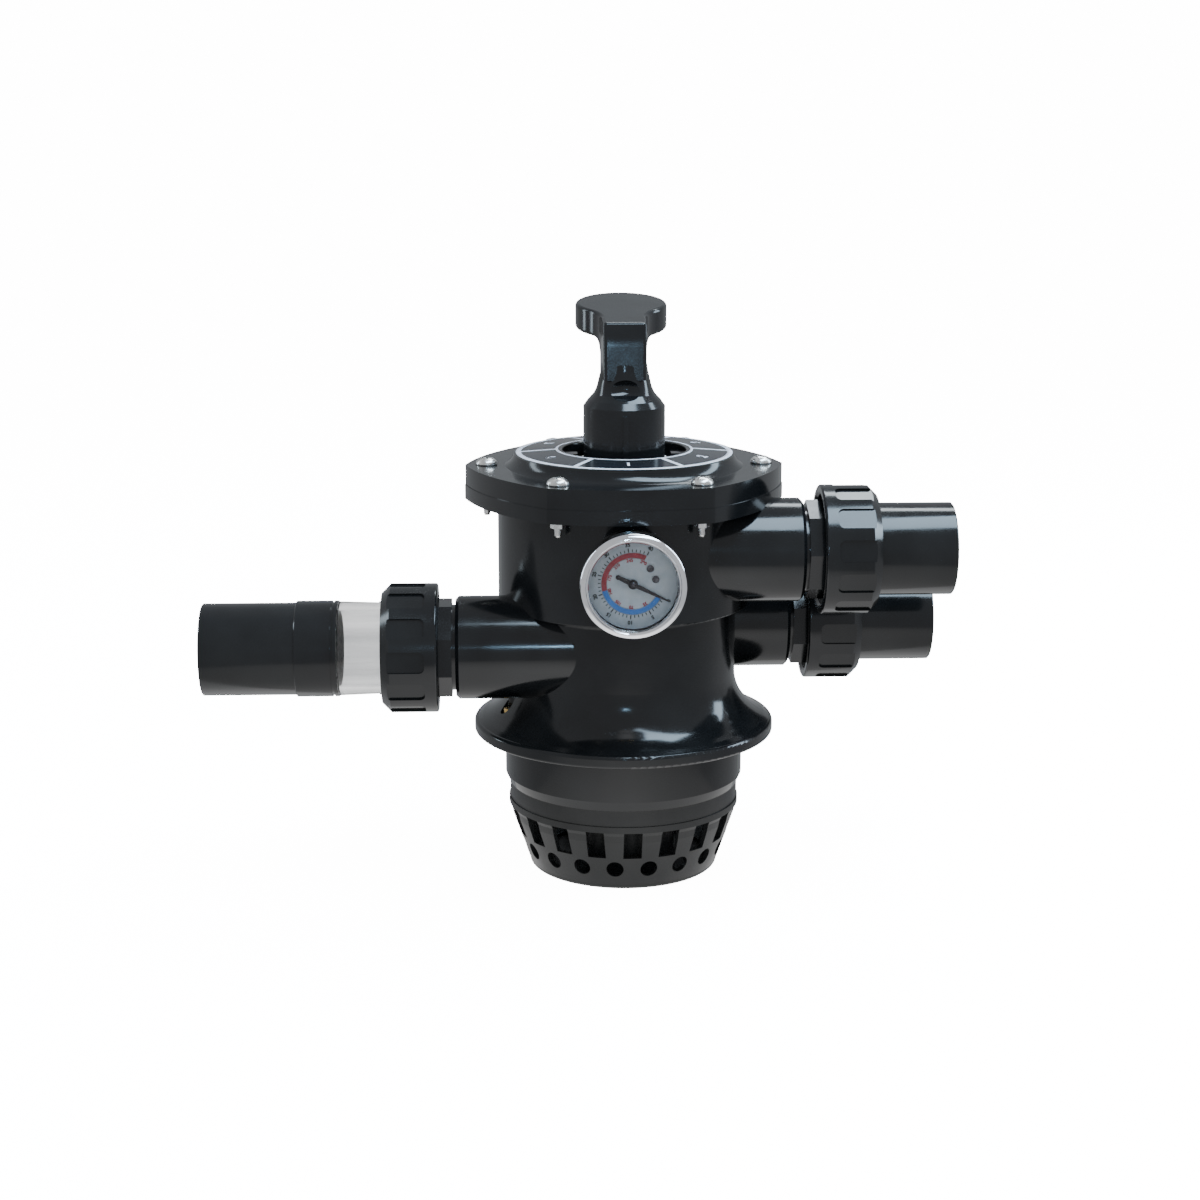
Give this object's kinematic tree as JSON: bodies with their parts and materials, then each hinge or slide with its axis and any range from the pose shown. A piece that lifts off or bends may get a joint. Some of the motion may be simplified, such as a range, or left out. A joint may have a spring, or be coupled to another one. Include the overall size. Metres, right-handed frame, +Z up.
{
  "type": "multiport valve",
  "caption": "Top-mount multiport filter valve with lever, diverter, union ports, sight glass, pressure gauge and diffuser basket.",
  "frame": {"origin": "valve axis at the underside of the tank clamp flange", "axes": "+Z up along the stem, -Y towards the gauge, +X towards the pump and return unions"},
  "size_m": [0.4048, 0.1881, 0.314],
  "materials": {
    "black_plastic": "gloss",
    "basket_plastic": "satin",
    "grey_plastic": "satin",
    "label": "satin",
    "seal_rubber": "matt",
    "white_plastic": "satin",
    "steel": "satin",
    "chrome": "polished",
    "brass": "satin",
    "needle_black": "satin",
    "clear_plastic": "clear"
  },
  "bodies": {
    "valve": {"valve_body": "black_plastic", "lid": "black_plastic", "label_plate": "label", "lid_screws": "steel", "lid_washers": "steel", "lid_nuts": "steel", "lid_seal": "seal_rubber", "spider_gasket": "seal_rubber", "tank_seal": "seal_rubber", "standpipe_seal": "seal_rubber", "diffuser_basket": "basket_plastic", "bleed_seal": "seal_rubber", "waste_adapter": "black_plastic", "waste_union_seal": "seal_rubber", "waste_thread_seal": "seal_rubber", "sight_glass": "clear_plastic", "waste_spigot": "black_plastic", "pump_adapter": "black_plastic", "pump_union_seal": "seal_rubber", "pump_thread_seal": "seal_rubber", "pump_tail": "black_plastic", "return_adapter": "black_plastic", "return_union_seal": "seal_rubber", "return_thread_seal": "seal_rubber", "return_tail": "black_plastic", "gauge_socket": "brass", "gauge_case": "chrome", "gauge_bezel": "chrome", "gauge_lens": "clear_plastic", "gauge_lens_gasket": "seal_rubber", "gauge_dial": "label", "gauge_dial_screws": "steel", "gauge_movement": "brass", "gauge_bourdon_tube": "brass"},
    "carrier": {"thrust_washer": "white_plastic", "spring_seat_high": "white_plastic", "rotor_spring": "steel"},
    "diverter": {"rotor": "grey_plastic", "stem_seal_low": "seal_rubber", "stem_seal_high": "seal_rubber", "spring_seat_low": "white_plastic"},
    "lever": {"handle": "black_plastic", "handle_pin": "steel"},
    "waste_union": {"waste_nut": "black_plastic"},
    "pump_union": {"pump_nut": "black_plastic"},
    "return_union": {"return_nut": "black_plastic"},
    "sector": {"gauge_sector": "brass"},
    "needle": {"gauge_needle": "needle_black"},
    "bleed": {"bleed_screw": "brass"}
  },
  "joints": [
    {"name": "rotor_turn", "type": "hinge", "parent": "valve", "child": "carrier", "pos_m": [0, 0, 0.15], "axis": [0, 0, 1], "continuous": true},
    {"name": "rotor_lift", "type": "slide", "parent": "carrier", "child": "diverter", "axis": [0, 0, 1], "range_m": [0, 0.0055], "stiffness_N_per_m": 9000, "springref_m": -0.006, "deforming": ["rotor_spring"]},
    {"name": "handle_tilt", "type": "hinge", "parent": "diverter", "child": "lever", "pos_m": [0, 0, 0.177], "axis": [-1, 0, 0], "range_deg": [0, 14.4]},
    {"name": "waste_nut_turn", "type": "hinge", "parent": "valve", "child": "waste_union", "pos_m": [-0.11, -0.027, 0.0532], "axis": [-1, 0, 0], "continuous": true},
    {"name": "pump_nut_turn", "type": "hinge", "parent": "valve", "child": "pump_union", "pos_m": [0.115, -0.027, 0.106], "axis": [1, 0, 0], "continuous": true},
    {"name": "return_nut_turn", "type": "hinge", "parent": "valve", "child": "return_union", "pos_m": [0.115, 0.038, 0.0532], "axis": [1, 0, 0], "continuous": true},
    {"name": "gauge_sector_swing", "type": "hinge", "parent": "valve", "child": "sector", "pos_m": [-0.01, -0.088, 0.103], "axis": [0, -1, 0], "range_deg": [0, 34]},
    {"name": "gauge_needle_turn", "type": "hinge", "parent": "valve", "child": "needle", "pos_m": [0, -0.095, 0.103], "axis": [0, 1, 0], "range_deg": [0, 272]},
    {"name": "bleed_screw_turn", "type": "hinge", "parent": "valve", "child": "bleed", "pos_m": [-0.06402, -0.018, 0.014], "axis": [0, 0, 1], "range_deg": [0, 720]}
  ],
  "couplings": [
    {"joint": "handle_tilt", "follows": "rotor_lift", "rad_per_m": 45.455},
    {"joint": "gauge_needle_turn", "follows": "gauge_sector_swing", "ratio": 8}
  ]
}
